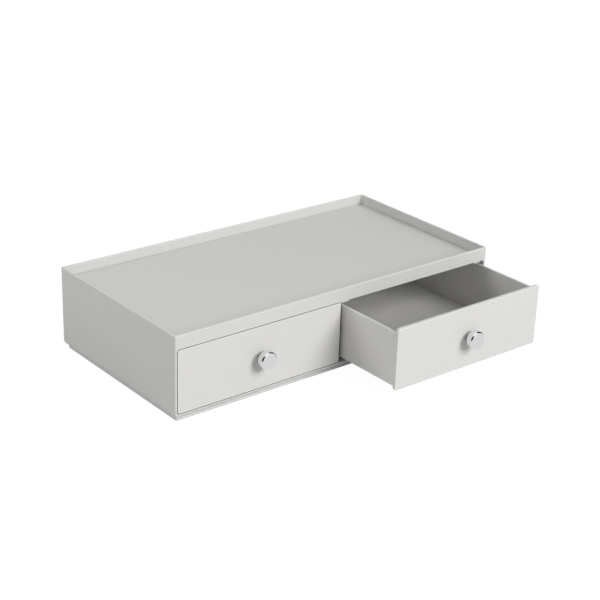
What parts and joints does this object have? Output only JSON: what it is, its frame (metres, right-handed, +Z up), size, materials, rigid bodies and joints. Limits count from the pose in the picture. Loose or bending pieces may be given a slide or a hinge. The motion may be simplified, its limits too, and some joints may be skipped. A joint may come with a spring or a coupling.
{
  "type": "desk organizer",
  "caption": "Low stackable desk organizer: a lipped tray top over side-by-side pull-out drawers with round chromed knobs, on an inset plinth with anti-slip pads.",
  "frame": {"origin": "middle of the footprint, on the plane that the pads stand on, with the right drawer open as pictured", "axes": "+X to the right along the front, +Y to the back, +Z up; the drawers pull out along -Y"},
  "size_m": [0.333, 0.2482, 0.0751],
  "materials": {
    "case_plastic": "satin pale grey moulding",
    "drawer_plastic": "satin pale grey moulding",
    "chrome": "polished chrome plating",
    "zinc_steel": "bright zinc plating",
    "pad_rubber": "soft translucent grey pad"
  },
  "bodies": {
    "case": {"case_shell": "case_plastic", "foot_front_left": "pad_rubber", "foot_front_right": "pad_rubber", "foot_rear_left": "pad_rubber", "foot_rear_right": "pad_rubber"},
    "left_drawer_unit": {"left_drawer": "drawer_plastic", "left_knob": "chrome", "left_knob_screw": "zinc_steel"},
    "right_drawer_unit": {"right_drawer": "drawer_plastic", "right_knob": "chrome", "right_knob_screw": "zinc_steel"}
  },
  "joints": [
    {"name": "left_drawer_slide", "type": "slide", "parent": "case", "child": "left_drawer_unit", "axis": [0, -1, 0], "range_m": [0, 0.132]},
    {"name": "right_drawer_slide", "type": "slide", "parent": "case", "child": "right_drawer_unit", "axis": [0, -1, 0], "range_m": [-0.0674, 0.0646]}
  ]
}
